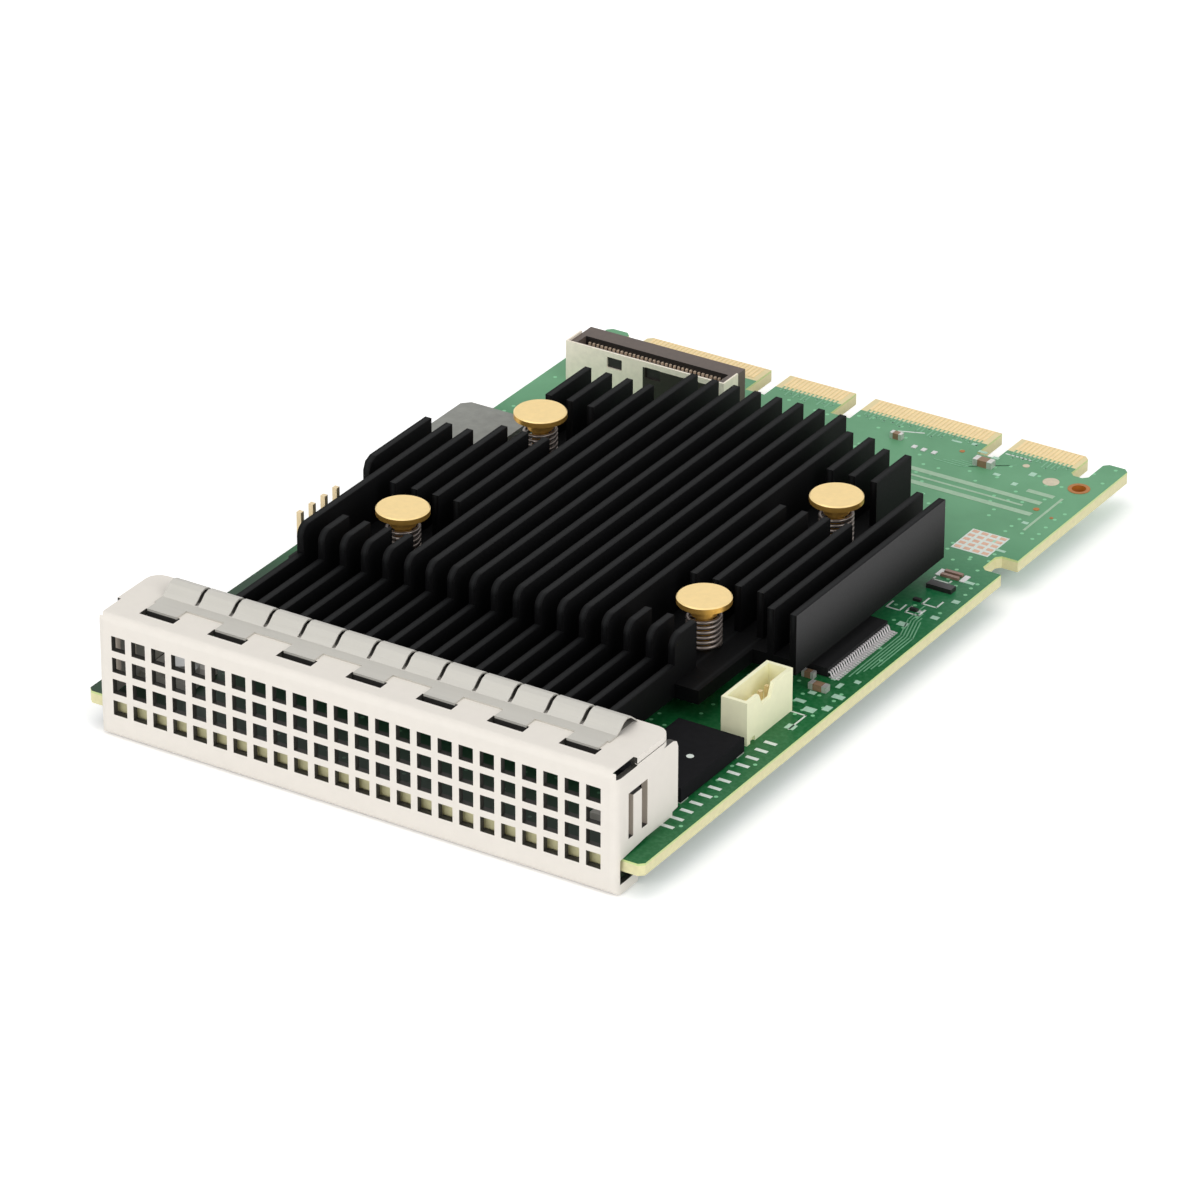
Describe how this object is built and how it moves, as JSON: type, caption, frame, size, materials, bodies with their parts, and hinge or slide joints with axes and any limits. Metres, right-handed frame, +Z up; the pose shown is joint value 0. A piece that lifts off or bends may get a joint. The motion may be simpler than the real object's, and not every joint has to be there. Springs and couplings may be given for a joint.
{
  "type": "raid controller card",
  "caption": "Small edge-connector controller card with a perforated folded faceplate, spring shield fingers and a black finned heatsink held by sprung brass pins.",
  "frame": {"origin": "middle of the bottom of the bounding box, on the plane that the card rests on", "axes": "+X to the right seen from the faceplate, +Y from the faceplate to the card edge, +Z up from the board to the heatsink"},
  "size_m": [0.076, 0.1164, 0.0174],
  "materials": {
    "board_green": "semi-gloss solder mask over glass fibre, bare yellow at the cut edges",
    "contact_gold": "gold plating",
    "sheet_white": "bright warm-white plated sheet, matt",
    "spring_sheet": "matt grey spring sheet",
    "sink_black": "black anodised, satin",
    "pad_grey": "soft grey pad",
    "substrate_green": "semi-gloss laminate",
    "lid_metal": "matt plated lid",
    "chip_black": "moulded black, matt",
    "tin_plate": "tinned",
    "block_black": "pressed black, matt",
    "coil_grey": "pressed grey, matt",
    "pin_brass": "turned, semi-gloss",
    "spring_wire": "bright wire",
    "housing_black": "moulded dark brown-black",
    "shell_metal": "plated shell",
    "header_cream": "moulded cream",
    "screw_steel": "zinc plated",
    "cap_brown": "matt",
    "resistor_black": "glazed"
  },
  "bodies": {
    "root": {"battery_header_housing": "header_cream", "battery_header_pins": "contact_gold", "bracket_nut_left": "screw_steel", "bracket_nut_right": "screw_steel", "bracket_screw_left": "screw_steel", "bracket_screw_right": "screw_steel", "cable_connector_contacts": "contact_gold", "cable_connector_housing": "housing_black", "cable_connector_shell": "shell_metal", "chip_capacitor_ends": "tin_plate", "chip_capacitors": "cap_brown", "chip_resistors": "resistor_black", "circuit_board": "board_green", "controller_lid": "lid_metal", "controller_substrate": "substrate_green", "edge_fingers_bottom": "contact_gold", "edge_fingers_top": "contact_gold", "emi_finger_strip": "spring_sheet", "faceplate": "sheet_white", "flash_chip_body": "chip_black", "flash_chip_leads": "tin_plate", "grey_inductor": "coil_grey", "grey_inductor_terminals": "tin_plate", "heatsink": "sink_black", "hole_ring": "contact_gold", "jumper_header_base": "chip_black", "jumper_header_pins": "contact_gold", "pin_spring_front_left": "spring_wire", "pin_spring_front_right": "spring_wire", "pin_spring_rear_left": "spring_wire", "pin_spring_rear_right": "spring_wire", "power_inductor": "block_black", "power_inductor_terminals": "tin_plate", "push_pin_front_left": "pin_brass", "push_pin_front_right": "pin_brass", "push_pin_rear_left": "pin_brass", "push_pin_rear_right": "pin_brass", "thermal_pad": "pad_grey"}
  },
  "joints": []
}
